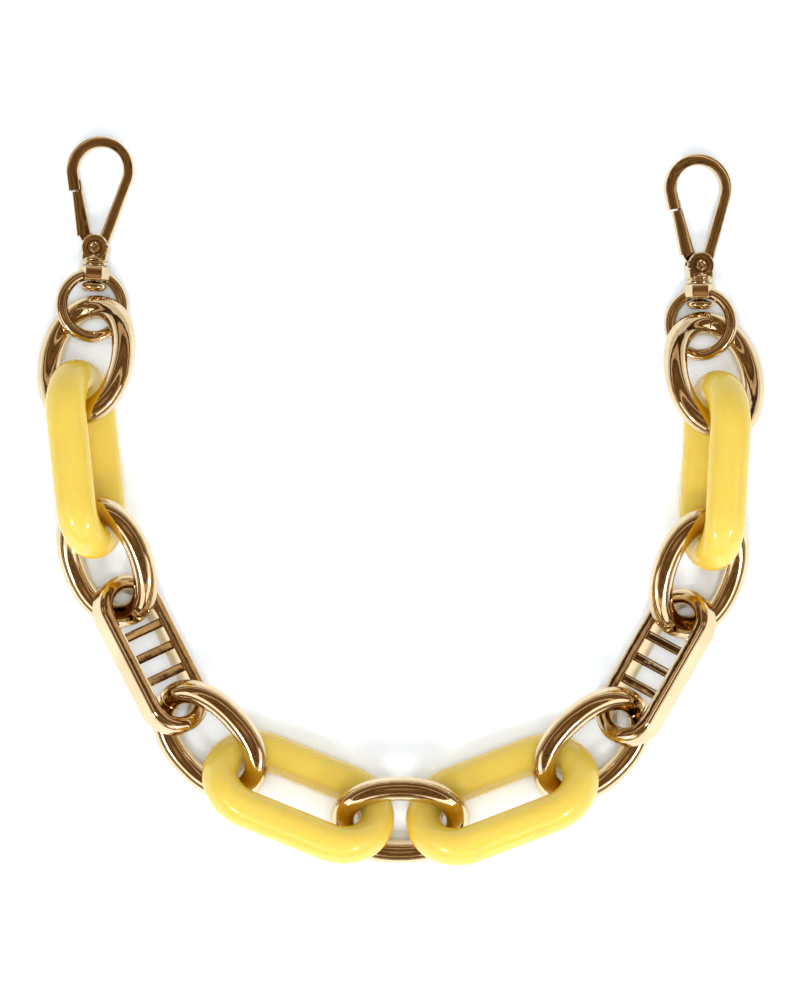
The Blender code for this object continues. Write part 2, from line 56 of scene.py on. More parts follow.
# Links, with the sizes of the CAD.
OVAL_LENGTH = 42.0 * MM
OVAL_WIDTH = 32.0 * MM
OVAL_BAR_RADIUS = 3.6 * MM
OVAL_SQUARENESS = 2.15
RESIN_LENGTH = 60.0 * MM
RESIN_WIDTH = 34.6 * MM
RESIN_BAR_WIDTH = 10.8 * MM
RESIN_BAR_DEPTH = 12.2 * MM
BARRED_LENGTH = 51.5 * MM
BARRED_WIDTH = 21.4 * MM
BARRED_DEPTH = 7.4 * MM
BARRED_SIDE_RIM = 4.0 * MM
BARRED_END_RIM = 5.0 * MM
BARRED_END_ROUND = 2.2 * MM
RUNG_COUNT = 3
RUNG_PITCH = 7.4 * MM
RUNG_WIDTH = 2.8 * MM
RUNG_DEPTH = 5.0 * MM
RUNG_BEVEL = 0.5 * MM

# Swivel eye and post.
RING_RADIUS = 9.5 * MM
RING_WIRE_RADIUS = 1.8 * MM
BARREL_RADIUS = 4.75 * MM
BARREL_SIDES = 6
BARREL_EDGE = 0.35 * MM
BARREL_ROUNDED_RADIUS = 0.985 * BARREL_RADIUS
BARREL_LENGTH = 4.2 * MM
POST_RADIUS = 1.6 * MM
POST_TOP = 4.2 * MM
POST_HEAD_RADIUS = 3.9 * MM
POST_HEAD_NECK = 2.0 * MM
POST_HEAD_BOTTOM = 5.3 * MM
POST_HEAD_BEVEL = 0.9 * MM
POST_FACE_RADIUS = 0.6 * POST_HEAD_RADIUS
POST_CROWN_RADIUS = 0.78 * POST_HEAD_RADIUS
POST_CROWN_DEPTH = 0.15 * MM
POST_ROUND = (0.5 * MM, 0.4 * MM, 0.2 * MM)     # crown, rim and shoulder

# Hook frame, gate, pin and spring.
COLLAR_RADIUS = 3.9 * MM
COLLAR_TOP = 4.6 * MM
COLLAR_EDGE = 0.18 * MM
COLLAR_LIP = 0.1 * MM
COLLAR_BEVEL = 0.15 * MM
FLANGE_DEPTH = 0.85 * MM
GROOVE_DEPTH = 0.2 * MM
NECK_RADIUS = 3.3 * MM
PIVOT_X = 7.8 * MM
HEAD_RADIUS = 4.1 * MM
HEAD_DEPTH = 5.2 * MM
HEAD_BEVEL = (0.42 * MM, 0.5 * MM)
CHEEK_HALF_WIDTH = 3.6 * MM
CHEEK_BEVEL = 0.3 * MM
SLOT_DEPTH = 2.6 * MM
SLOT_RADIUS = 3.5 * MM
SLOT_BACK = 0.4 * MM            # how far the gate's slot reaches past the axis
SLOT_LENGTH = 6.0 * MM
SLOT_HEIGHT = 7.0 * MM
BOW_X = 31.2 * MM
BOW_RADIUS = 8.6 * MM
BOW_END = math.radians(98.0)
LEG_SLOPE = math.radians(17.0)
LEG_WIDTH = 3.1 * MM
NOSE_WIDTH = 3.5 * MM
NOSE_X = 24.8 * MM
NOSE_Y = 7.5 * MM
NOTCH_X = 28.2 * MM
NOTCH_Y = 7.3 * MM
NOTCH_CLEAR = (2.0 * MM, 4.0 * MM)      # how far the notch's cutter overshoots
WIDENING = 1.6                  # the bar widens over this many bow radii
FRAME_DEPTH = 3.6 * MM
FRAME_BEVEL = 0.32 * MM
GATE_ROOT_WIDTH = 4.2 * MM
GATE_TOP_WIDTH = 3.0 * MM
GATE_DEPTH = 3.2 * MM
GATE_ROOT = (11.45 * MM, 3.75 * MM)
GATE_TOP = (24.4 * MM, 6.7 * MM)
TONGUE_WIDTH = 1.2 * MM
TONGUE_DEPTH = 1.6 * MM
TONGUE_TOP = (27.6 * MM, 6.4 * MM)
TONGUE_ROOT = (GATE_TOP[0] - 2.0 * MM, TONGUE_TOP[1] - 0.9 * MM)
TONGUE_ROUND = 0.3 * MM
KNUCKLE_RADIUS = 3.0 * MM
KNUCKLE_LOW = -1.0 * MM
KNUCKLE_HIGH = 0.1 * MM
WEB_OFFSET = 0.9 * MM
WEB_REACH = 1.2 * MM
WEB_INSET = 0.3 * MM
WEB_ROUND = 0.1 * MM
PIN_RADIUS = 0.8 * MM
PIN_HEAD_RADIUS = 1.7 * MM
PIN_HEAD_DEPTH = 0.6 * MM

# Half of the pin's head from its rim inwards: (drop below the face, radius,
# rounding), all in mm.
PIN_FACE = [(0.22, 1.7, 0.05), (0.0, 1.52, 0.05), (0.0, 1.3, 0.08),
            (0.5, 0.8, 0.15), (0.42, 0.3, 0.1), (0.4, 0.05, 0.0)]
PIN_INNER_ROUND = 0.03 * MM
SEAT_FLARE = 0.3 * MM
SEAT_SLOPE = 1.4                # drop of the seat's flare against its width
SPRING_RADIUS = 1.6 * MM
SPRING_WIRE_RADIUS = 0.1 * MM
SPRING_TURNS = 1.5
SPRING_LOW = 0.52 * MM
SPRING_HIGH = 0.88 * MM
SPRING_START = math.radians(60.0)

# Mesh fineness.
LINK_STATIONS = 192
BAR_SIDES = 48
RING_SIDES = 32
ROUND_SIDES = 96
PIN_SIDES = 64
WIRE_SIDES = 12
SPRING_STEPS = 96
CORNER_STEPS = 9
ROUNDING_STEPS = 4
BOW_STEPS = 72
LEG_STEPS = 12
NOSE_STEPS = 6
GATE_STEPS = 8
OVAL_SAMPLES = 2000
ARC_SAMPLES = 400
SHARP_ANGLE = math.radians(30.0)

# Corner shapes as (inset, drop) pairs from wall to top. The first is in mm, for
# two fine steps; the second is in bevel widths, for a flat with soft edges.
STEPPED_CORNER = [(0, 0.95), (0.03, 0.78), (0.12, 0.62), (0.30, 0.52), (0.50, 0.47),
                  (0.58, 0.40), (0.62, 0.24), (0.70, 0.10), (0.84, 0.02), (1.05, 0)]
BEVEL_CORNER = [(0, 1.45), (0.03, 1.25), (0.1, 1.12), (0.7, 0.27), (0.85, 0.08), (1.1, 0)]

# Barrel ends as (distance from the end in mm, scale) pairs, and the places of
# the points round each of its corners, in corner widths.
BARREL_END = [(0, 0.90), (0.12, 0.945), (0.4, 0.99), (0.5, 1.0)]
BARREL_CORNER = (-2.2, -1.2, 0.0, 1.2, 2.2)

# Closing seam of an oval link: a fine groove round its bar.
SEAM_WIDTH = 0.28 * MM
SEAM_DEPTH = 0.16 * MM
SEAM_SHAPE = [(-1.0, 0.0), (-0.5, 0.55), (0.0, 1.0), (0.5, 0.55), (1.0, 0.0)]

# Inputs of a colour mix node.
MIX_A, MIX_B = 6, 7


# Materials.

def new_material(name):
    material = bpy.data.materials.new(name)
    material.use_nodes = True
    tree = material.node_tree
    return material, tree, tree.nodes["Principled BSDF"]


def add(tree, kind, **values):
    """New node with its properties and its inputs set by name."""
    node = tree.nodes.new(kind)
    for key, value in values.items():
        name = key.replace("_", " ")
        if name in node.inputs:
            node.inputs[name].default_value = value
        else:
            setattr(node, key, value)
    return node


def local_position(tree):
    """Position on the piece, shifted by a different amount on each object."""
    position = add(tree, "ShaderNodeTexCoord").outputs["Object"]
    info = add(tree, "ShaderNodeObjectInfo").outputs["Random"]
    shift = add(tree, "ShaderNodeVectorMath", operation="MULTIPLY_ADD")
    triple = add(tree, "ShaderNodeCombineXYZ")
    for axis in "XYZ":
        tree.links.new(info, triple.inputs[axis])
    tree.links.new(triple.outputs[0], shift.inputs[0])
    shift.inputs[1].default_value = (0.7, 0.9, 1.3)
    tree.links.new(position, shift.inputs[2])
    return shift.outputs[0]


def noise(tree, position, scale, detail=2.0, roughness=0.5, distortion=0.0):
    node = add(tree, "ShaderNodeTexNoise", Scale=scale, Detail=detail,
               Roughness=roughness, Distortion=distortion)
    tree.links.new(position, node.inputs["Vector"])
    return node.outputs["Fac"]


def spread(tree, value, low, high, start=0.3, end=0.7):
    """Map the useful span of a noise to a range of values."""
    node = add(tree, "ShaderNodeMapRange")
    node.inputs["From Min"].default_value = start
    node.inputs["From Max"].default_value = end
    node.inputs["To Min"].default_value = low
    node.inputs["To Max"].default_value = high
    tree.links.new(value, node.inputs["Value"])
    return node.outputs["Result"]


def ramp(tree, value, stops):
    node = add(tree, "ShaderNodeValToRGB")
    elements = node.color_ramp.elements
    while len(elements) < len(stops):
        elements.new(0.5)
    for element, (stop, colour) in zip(elements, stops):
        element.position = stop
        element.color = (*colour, 1.0)
    tree.links.new(value, node.inputs["Fac"])
    return node.outputs["Color"]


def bump(tree, height, distance, normal=None):
    node = add(tree, "ShaderNodeBump", Strength=1.0, Distance=distance)
    tree.links.new(height, node.inputs["Height"])
    if normal is not None:
        tree.links.new(normal, node.inputs["Normal"])
    return node.outputs["Normal"]


def gold_material():
    """Polished plating: slow waves from casting, fine polishing haze."""
    material, tree, shader = new_material("polished_gold")
    position = local_position(tree)
    colour = ramp(tree, noise(tree, position, 90.0),
                  [(0.35, (0.66, 0.50, 0.29)), (0.65, (0.74, 0.58, 0.36))])
    tree.links.new(colour, shader.inputs["Base Color"])
    shader.inputs["Metallic"].default_value = 1.0
    haze = spread(tree, noise(tree, position, 900.0, 4.0, 0.6), 0.03, 0.09)
    tree.links.new(haze, shader.inputs["Roughness"])
    waves = bump(tree, noise(tree, position, 150.0, 1.5), 0.11 * MM)
    ripples = bump(tree, noise(tree, position, 420.0, 2.0), 0.014 * MM, waves)
    grain = bump(tree, noise(tree, position, 1600.0, 2.0), 0.002 * MM, ripples)
    tree.links.new(grain, shader.inputs["Normal"])
    return material


def steel_material():
    """Drawn wire: dull grey with a fine uneven haze."""
    material, tree, shader = new_material("spring_wire")
    position = local_position(tree)
    colour = ramp(tree, noise(tree, position, 800.0),
                  [(0.3, (0.52, 0.52, 0.51)), (0.7, (0.68, 0.68, 0.66))])
    tree.links.new(colour, shader.inputs["Base Color"])
    shader.inputs["Metallic"].default_value = 1.0
    haze = spread(tree, noise(tree, position, 3000.0), 0.22, 0.4)
    tree.links.new(haze, shader.inputs["Roughness"])
    return material


def resin_material():
    """Glossy cast resin: cloudy yellow, slightly translucent, with a painted sheen that makes it
    paler where it faces up and a deeper yellow, partly painted shade, on its sides.
    """
    material, tree, shader = new_material("yellow_resin")
    position = local_position(tree)
    cloud = noise(tree, position, 55.0, 3.0, 0.5, 0.4)
    # Sides and underside: the resin's own deep yellow, made redder and more saturated as painted
    # warm shade.
    deep = ramp(tree, cloud, [(0.3, (0.73, 0.46, 0.006)), (0.7, (0.77, 0.51, 0.012))])
    # Painted sheen: a paler, bluer yellow for surfaces that face up, standing in for the
    # reflection of a bright room.
    painted_sheen = ramp(tree, cloud, [(0.3, (0.585, 0.44, 0.078)), (0.7, (0.615, 0.47, 0.092))])
    # Painted sheen and shade: the colour blends from the deep yellow to the painted sheen as the
    # surface normal turns up.
    split = add(tree, "ShaderNodeSeparateXYZ")
    normal = add(tree, "ShaderNodeNewGeometry").outputs["Normal"]
    tree.links.new(normal, split.inputs[0])
    top = spread(tree, split.outputs["Z"], 0.0, 1.0, 0.0, 0.6)
    colour = add(tree, "ShaderNodeMix", data_type="RGBA")
    tree.links.new(top, colour.inputs["Factor"])
    tree.links.new(deep, colour.inputs[MIX_A])
    tree.links.new(painted_sheen, colour.inputs[MIX_B])
    tree.links.new(colour.outputs[2], shader.inputs["Base Color"])
    shader.inputs["Subsurface Weight"].default_value = 0.8
    shader.inputs["Subsurface Radius"].default_value = (1.0, 0.6, 0.05)
    shader.inputs["Subsurface Scale"].default_value = 6.0 * MM
    shader.inputs["IOR"].default_value = 1.47
    haze = spread(tree, noise(tree, position, 500.0, 3.0), 0.06, 0.13)
    tree.links.new(haze, shader.inputs["Roughness"])
    waves = bump(tree, noise(tree, position, 110.0, 1.0), 0.12 * MM)
    pores = bump(tree, noise(tree, position, 1400.0, 2.0), 0.003 * MM, waves)
    tree.links.new(pores, shader.inputs["Normal"])
    return material


GOLD = gold_material()
RESIN = resin_material()
STEEL = steel_material()


# Outlines and sections.

def oval_point(turn, length, width, squareness):
    angle = 2 * math.pi * turn
    power = 2 / squareness
    c, s = math.cos(angle), math.sin(angle)
    return Vector((math.copysign(abs(c) ** power, c) * length / 2,
                   math.copysign(abs(s) ** power, s) * width / 2, 0))


def resample(points, count):
    """Closed outline again with evenly spaced points, from the first one."""
    loop = np.array([tuple(p) for p in points] + [tuple(points[0])])
    steps = np.linalg.norm(np.diff(loop, axis=0), axis=1)
    along = np.concatenate([[0], np.cumsum(steps)])
    wanted = np.linspace(0, along[-1], count, endpoint=False)
    return [Vector([float(np.interp(w, along, loop[:, i])) for i in range(3)])
            for w in wanted]


def stadium(length, width, count):
    """Evenly spaced outline of two half circles and two straights."""
    radius, straight = width / 2, length / 2 - width / 2
    points = []
    for i in range(ARC_SAMPLES):
        angle = -math.pi / 2 + math.pi * i / (ARC_SAMPLES - 1)
        points.append(Vector((straight + radius * math.cos(angle),
                              radius * math.sin(angle), 0)))
    points += [Vector((-p.x, -p.y, 0)) for p in points]
    start = ARC_SAMPLES // 2
    return resample(points[start:] + points[:start], count)


def ellipse_section(half_width, half_depth, sides):
    angles = [2 * math.pi * i / sides for i in range(sides)]
    return [(math.cos(a) * half_width, math.sin(a) * half_depth) for a in angles]


def cornered_section(half_width, half_depth, corner):
    """Rectangle whose four corners follow (inset, drop) pairs from wall to top."""
    section = []
    for sx, sz in ((1, -1), (1, 1), (-1, 1), (-1, -1)):
        pairs = corner if sx * sz > 0 else list(reversed(corner))
        section += [(sx * (half_width - inset), sz * (half_depth - drop))
                    for inset, drop in pairs]
    return section


def round_corner(radius):
    """Quarter circle as (inset, drop) pairs from wall to top."""
    angles = [math.pi / 2 * i / CORNER_STEPS for i in range(CORNER_STEPS + 1)]
    return [(radius * (1 - math.cos(a)), radius * (1 - math.sin(a))) for a in angles]


def scaled_corner(pairs, size):
    return [(inset * size, drop * size) for inset, drop in pairs]


def bevel_corner(bevel):
    return scaled_corner(BEVEL_CORNER, bevel)


# Mesh builders.

def skin(bm, rings, closed):
    count = len(rings)
    for i in range(count if closed else count - 1):
        a, b = rings[i], rings[(i + 1) % count]
        for j in range(len(a)):
            k = (j + 1) % len(a)
            bm.faces.new((a[j], a[k], b[k], b[j]))
    if not closed:
        bm.faces.new(list(reversed(rings[0])))
        bm.faces.new(rings[-1])


def tangents(path, closed):
    result = []
    for i in range(len(path)):
        before = path[i - 1] if closed or i > 0 else path[i]
        after = path[(i + 1) % len(path)] if closed or i < len(path) - 1 else path[i]
        result.append((after - before).normalized())
    return result


def sweep(path, sections, closed):
    """Flat path in the XY plane with one section for each of its points."""
    bm = bmesh.new()
    rings = []
    for point, along, section in zip(path, tangents(path, closed), sections):
        across = Vector((along.y, -along.x, 0))
        rings.append([bm.verts.new(point + across * a + Vector((0, 0, b)))
                      for a, b in section])
    skin(bm, rings, closed)
    return bm


def turned(profile, sides=ROUND_SIDES, axis="X", centre=(0, 0, 0)):
    """Solid of revolution from (along, radius) pairs about X or Z."""
    bm = bmesh.new()
    rings = []
    for along, radius in profile:
        ring = []
        for i in range(sides):
            angle = 2 * math.pi * i / sides
            c, s = radius * math.cos(angle), radius * math.sin(angle)
            point = (along, c, s) if axis == "X" else (c, s, along)
            ring.append(bm.verts.new(Vector(point) + Vector(centre)))
        rings.append(ring)
    skin(bm, rings, False)
    return bm


def about_pivot(profile, sides=ROUND_SIDES):
    """Solid of revolution about the gate's pin."""
    return turned(profile, sides, "Z", (PIVOT_X, 0, 0))


def rounded_profile(corners):
    """Turned profile with some corners rounded: (along, radius, rounding)."""
    points = [Vector((x, r)) for x, r, _ in corners]
    result = []
    for i, (x, r, rounding) in enumerate(corners):
        here = points[i]
        if rounding == 0 or i in (0, len(corners) - 1):
            result.append((x, r))
            continue
        into = points[i - 1] - here
        out = points[i + 1] - here
        reach = min(rounding, into.length * 0.49, out.length * 0.49)
        a = here + into.normalized() * reach
        b = here + out.normalized() * reach
        for k in range(ROUNDING_STEPS + 1):
            t = k / ROUNDING_STEPS
            p = a * (1 - t) ** 2 + here * 2 * t * (1 - t) + b * t ** 2
            result.append((p.x, p.y))
    return result


def block(low, high):
    bm = bmesh.new()
    bmesh.ops.create_cube(bm, size=1.0)
    bmesh.ops.scale(bm, vec=Vector(high) - Vector(low), verts=bm.verts)
    bmesh.ops.translate(bm, vec=(Vector(high) + Vector(low)) / 2, verts=bm.verts)
    return bm


def mesh_object(name, bm):
    bmesh.ops.recalc_face_normals(bm, faces=bm.faces)
    mesh = bpy.data.meshes.new(name)
    bm.to_mesh(mesh)
    bm.free()
    obj = bpy.data.objects.new(name, mesh)
    bpy.context.scene.collection.objects.link(obj)
    return obj


def apply_modifiers(obj):
    graph = bpy.context.evaluated_depsgraph_get()
    mesh = bpy.data.meshes.new_from_object(obj.evaluated_get(graph))
    old = obj.data
    obj.modifiers.clear()
    obj.data = mesh
    bpy.data.meshes.remove(old)


def combine(name, base, joined=(), cut=()):
    """Boolean the operands into or out of a base mesh, and apply it."""
    obj = mesh_object(name, base)
    operands = []
    for operation, group in (("UNION", joined), ("DIFFERENCE", cut)):
        for bm in group:
            operand = mesh_object(name + "_operand", bm)
            operands.append(operand)
            modifier = obj.modifiers.new("boolean", "BOOLEAN")
            modifier.operation = operation
            modifier.solver = "EXACT"
            modifier.object = operand
    apply_modifiers(obj)
    for operand in operands:
        bpy.data.objects.remove(operand, do_unlink=True)
    return obj


def smooth(obj):
    obj.data.shade_smooth()
    obj.data.set_sharp_from_angle(angle=SHARP_ANGLE)


def copy_of(master, name):
    obj = bpy.data.objects.new(name, master.data.copy())
    bpy.context.scene.collection.objects.link(obj)
    return obj


# Where each CAD node lies.

def surface_points(node):
    mesh = node.data
    mesh.calc_loop_triangles()
    points = np.array([v.co[:] for v in mesh.vertices])
    corners = np.array([t.vertices[:] for t in mesh.loop_triangles])
    return points[corners]


def principal_axes(node):
    """Centre and axes of a node's surface, longest spread first."""
    triangles = surface_points(node)
    edge_a = triangles[:, 1] - triangles[:, 0]
    edge_b = triangles[:, 2] - triangles[:, 0]
    areas = np.linalg.norm(np.cross(edge_a, edge_b), axis=1) / 2
    centres = triangles.mean(axis=1)
    centre = (areas[:, None] * centres).sum(axis=0) / areas.sum()
    offset = triangles - centre
    total = offset.sum(axis=1)
    second = np.einsum("t,tvi,tvj->ij", areas / 12, offset, offset)
    second += np.einsum("t,ti,tj->ij", areas / 12, total, total)
    values, vectors = np.linalg.eigh(second)
    order = np.argsort(values)[::-1]
    return Vector(centre), [Vector(vectors[:, i]) for i in order]


JOINTS = {joint["child"]: joint for joint in frame["joints"]}


def matrix_of(origin, x_axis, z_axis):
    """Frame from its origin, local X and, as near as it can be, local Z."""
    x = x_axis.normalized()
    y = z_axis.cross(x).normalized()
    rotation = Matrix((x, y, x.cross(y))).transposed().to_4x4()
    return Matrix.Translation(origin) @ rotation


def upward(axis):
    return axis if axis.z >= 0 else -axis


def link_matrix(name):
    """A link's frame, with X pointing away from the link it hangs on."""
    centre, (long, _, normal) = principal_axes(frame["nodes"][name])
    if name in JOINTS:
        hinge = Vector(JOINTS[name]["pos_m"])
        if long.dot(centre - hinge) < 0:
            long = -long
    return matrix_of(centre, long, upward(normal))


def eye_matrix(side):
    swivel = JOINTS[side + "_hook"]
    _, axes = principal_axes(frame["nodes"][side + "_swivel_eye"])
    return matrix_of(Vector(swivel["pos_m"]), Vector(swivel["axis"]), upward(axes[2]))


def hook_matrix(side):
    swivel, gate = JOINTS[side + "_hook"], JOINTS[side + "_gate"]
    return matrix_of(Vector(swivel["pos_m"]), Vector(swivel["axis"]),
                     upward(Vector(gate["axis"])))


def place(obj, matrix, body, node, material, slot):
    """Put a piece where its node lies, with its look, and bind it to its body."""
    obj.data.transform(matrix)
    obj.data.materials.clear()
    obj.data.materials.append(material)
    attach(obj, body)
    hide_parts(node)


# Links.

def oval_bmesh():
    dense = [oval_point(i / OVAL_SAMPLES, OVAL_LENGTH - 2 * OVAL_BAR_RADIUS,
                        OVAL_WIDTH - 2 * OVAL_BAR_RADIUS, OVAL_SQUARENESS)
             for i in range(OVAL_SAMPLES)]
    path = resample(dense, LINK_STATIONS)
    seam = [Vector((path[0].x, along * SEAM_WIDTH, 0)) for along, _ in SEAM_SHAPE]
    path = seam + path[1:]
    radii = [OVAL_BAR_RADIUS - depth * SEAM_DEPTH for _, depth in SEAM_SHAPE]
    radii += [OVAL_BAR_RADIUS] * (len(path) - len(seam))
    sections = [ellipse_section(r, r, BAR_SIDES) for r in radii]
    return sweep(path, sections, True)


def resin_bmesh():
    path = stadium(RESIN_LENGTH - RESIN_BAR_WIDTH, RESIN_WIDTH - RESIN_BAR_WIDTH,
                   LINK_STATIONS)
    section = ellipse_section(RESIN_BAR_WIDTH / 2, RESIN_BAR_DEPTH / 2, BAR_SIDES)
    return sweep(path, [section] * len(path), True)


def barred_bmesh():
    """Stadium rim, stepped along its sides and rounded over at its ends."""
    outer = stadium(BARRED_LENGTH, BARRED_WIDTH, LINK_STATIONS)
    inner = stadium(BARRED_LENGTH - 2 * BARRED_END_RIM,
                    BARRED_WIDTH - 2 * BARRED_SIDE_RIM, 4 * LINK_STATIONS)
    straight = (BARRED_LENGTH - BARRED_WIDTH) / 2
    side_corner = scaled_corner(STEPPED_CORNER, MM)
    end_corner = round_corner(BARRED_END_ROUND)
    bm = bmesh.new()
    rings = []
    for a in outer:
        b = min(inner, key=lambda p: (p - a).length)
        bend = max(0.0, (abs(a.x) - straight) / (BARRED_WIDTH / 2))
        bend = bend * bend * (3 - 2 * bend)
        corner = [(side[0] + (end[0] - side[0]) * bend, side[1] + (end[1] - side[1]) * bend)
                  for side, end in zip(side_corner, end_corner)]
        middle, outward = (a + b) / 2, (a - b).normalized()
        section = cornered_section((a - b).length / 2, BARRED_DEPTH / 2, corner)
        rings.append([bm.verts.new(middle + outward * across + Vector((0, 0, up)))
                      for across, up in section])
    skin(bm, rings, True)
    return bm


def rung_bmesh(x):
    reach = BARRED_WIDTH / 2 - BARRED_SIDE_RIM / 2
    path = [Vector((x, -reach, 0)), Vector((x, reach, 0))]
    section = cornered_section(RUNG_WIDTH / 2, RUNG_DEPTH / 2, bevel_corner(RUNG_BEVEL))
    return sweep(path, [section] * 2, False)


def barred_object(name):
    rungs = [rung_bmesh((i - (RUNG_COUNT - 1) / 2) * RUNG_PITCH)
             for i in range(RUNG_COUNT)]
    return combine(name, barred_bmesh(), joined=rungs)


def make_links():
    masters = {"oval": mesh_object("oval_master", oval_bmesh()),
               "resin": mesh_object("resin_master", resin_bmesh()),
               "barred": barred_object("barred_master")}
    for master in masters.values():
        smooth(master)
    for name in frame["nodes"]:
        kind = name.split("_")[0]
        if kind not in masters:
            continue
        obj = copy_of(masters[kind], "fine_" + name)
        look = (RESIN, "yellow_resin") if kind == "resin" else (GOLD, "gold")
        place(obj, link_matrix(name), name, name, *look)
    for master in masters.values():
        bpy.data.objects.remove(master, do_unlink=True)


# Hook pieces.

def ring_bmesh():
    path = [Vector((RING_RADIUS * (math.cos(a) - 1), RING_RADIUS * math.sin(a), 0))
            for a in (2 * math.pi * i / LINK_STATIONS for i in range(LINK_STATIONS))]
    section = ellipse_section(RING_WIRE_RADIUS, RING_WIRE_RADIUS, RING_SIDES)
    return sweep(path, [section] * len(path), True)


def hexagon_barrel():
    """Six-sided barrel with a flat on +Z, rounded along its corners."""
    half, half_side = BARREL_LENGTH / 2, math.pi / BARREL_SIDES
    flat = BARREL_RADIUS * math.cos(half_side)
    reach = BARREL_EDGE * math.tan(half_side) / BARREL_RADIUS
    outline = []
    for i in range(BARREL_SIDES):
        corner = 2 * math.pi * i / BARREL_SIDES
        for share in BARREL_CORNER:
            angle = corner + share * reach
            side = abs(angle - corner - math.copysign(half_side, share))
            radius = min(flat / math.cos(side), BARREL_ROUNDED_RADIUS)
            outline.append((radius * math.cos(angle), radius * math.sin(angle)))
    bm = bmesh.new()
    steps = [(half - inset * MM, scale) for inset, scale in BARREL_END]
    steps = [(-x, scale) for x, scale in steps] + steps[::-1]
    rings = [[bm.verts.new((x, y * scale, z * scale)) for y, z in outline]
             for x, scale in steps]
    skin(bm, rings, False)
    return bm


def level_turn(matrix):
    """Turn about local X that brings local Z as near to upright as it can be."""
    up = matrix.to_3x3().transposed() @ Vector((0, 0, 1))
    return Matrix.Rotation(math.atan2(-up.y, up.z), 3, "X")


def eye_object(name, matrix):
    barrel = hexagon_barrel()
    bmesh.ops.rotate(barrel, matrix=level_turn(matrix), verts=barrel.verts)
    bore_radius = POST_RADIUS + GAP
    bore = turned([(-BARREL_LENGTH, bore_radius), (BARREL_LENGTH, bore_radius)])
    return combine(name, barrel, joined=[ring_bmesh()], cut=[bore])


def post_object(name):
    """Shank with a crowned head below the barrel."""
    under = -BARREL_LENGTH / 2 - GAP
    crown, rim, shoulder = POST_ROUND
    corners = [(-POST_HEAD_BOTTOM, POST_FACE_RADIUS, 0),
               (-POST_HEAD_BOTTOM + POST_CROWN_DEPTH, POST_CROWN_RADIUS, crown),
               (-POST_HEAD_BOTTOM + POST_HEAD_BEVEL, POST_HEAD_RADIUS, rim),
               (under - POST_HEAD_BEVEL, POST_HEAD_RADIUS, rim),
               (under, POST_HEAD_NECK, shoulder),
               (under, POST_RADIUS, 0),
               (POST_TOP, POST_RADIUS, 0)]
    return mesh_object(name, turned(rounded_profile(corners)))


def frame_path():
    """Centreline of the hook's bar from the head, round the bow, to the nose."""
    start = -math.pi / 2 - LEG_SLOPE
    angles = [start + (BOW_END - start) * i / BOW_STEPS for i in range(BOW_STEPS + 1)]
    bow = [Vector((BOW_X + BOW_RADIUS * math.cos(a), BOW_RADIUS * math.sin(a), 0))
           for a in angles]
    run = bow[0].x - PIVOT_X - 0.5 * MM
    leg_start = bow[0] + Vector((-run, run * math.tan(LEG_SLOPE), 0))
    leg = [leg_start.lerp(bow[0], i / LEG_STEPS) for i in range(LEG_STEPS)]
    nose = Vector((NOSE_X, NOSE_Y, 0))
    tail = [bow[-1].lerp(nose, (i + 1) / NOSE_STEPS) for i in range(NOSE_STEPS)]
    return leg + bow + tail


def frame_bar_bmesh():
    """The hook's bar, growing wider from the leg to the nose."""
    path = frame_path()
    sections = []
    for point in path:
        share = min(1.0, max(0.0, 0.5 + point.y / BOW_RADIUS / WIDENING))
        width = LEG_WIDTH + (NOSE_WIDTH - LEG_WIDTH) * share
        sections.append(cornered_section(width / 2, FRAME_DEPTH / 2,
                                         bevel_corner(FRAME_BEVEL)))
    return sweep(path, sections, False)


def disc(radius, low, high):
    return about_pivot([(low, radius), (high, radius)])


def collar_bmesh():
    """Flange, groove and upper flange, tapering into the head."""
    base, edge, lipped = BARREL_LENGTH / 2 + GAP, COLLAR_EDGE, COLLAR_RADIUS - COLLAR_LIP
    groove = base + FLANGE_DEPTH + GROOVE_DEPTH
    corners = [(base, COLLAR_RADIUS - 0.35 * MM, 0), (base, lipped, edge),
               (base + COLLAR_BEVEL, COLLAR_RADIUS, edge),
               (base + FLANGE_DEPTH, COLLAR_RADIUS, edge),
               (groove, NECK_RADIUS, edge),
               (groove + GROOVE_DEPTH, NECK_RADIUS, edge),
               (groove + GROOVE_DEPTH + COLLAR_BEVEL, lipped, edge),
               (COLLAR_TOP - COLLAR_BEVEL, lipped, edge),
               (COLLAR_TOP, COLLAR_RADIUS - 0.5 * MM, edge),
               (COLLAR_TOP + 0.1 * MM, NECK_RADIUS - 0.3 * MM, edge),
               (PIVOT_X - 2.0 * MM, HEAD_DEPTH / 2 - 0.1 * MM, 0)]
    return turned(rounded_profile(corners))


def cheeks_bmesh():
    section = cornered_section(CHEEK_HALF_WIDTH, HEAD_DEPTH / 2 - 0.1 * MM,
                               bevel_corner(CHEEK_BEVEL))
    path = [Vector((COLLAR_TOP - 0.5 * MM, 0, 0)), Vector((PIVOT_X, 0, 0))]
    return sweep(path, [section] * 2, False)


def pin_seats():
    """Cutters for the flared seats of the pin's two heads."""
    half, seat = HEAD_DEPTH / 2, PIN_HEAD_RADIUS + GAP
    profile = [(HEAD_DEPTH, seat + half), (half, seat + SEAT_FLARE),
               (half - SEAT_SLOPE * SEAT_FLARE, seat), (half - PIN_HEAD_DEPTH, seat)]
    return [about_pivot([(-z, radius) for z, radius in profile]),
            about_pivot(profile[::-1])]


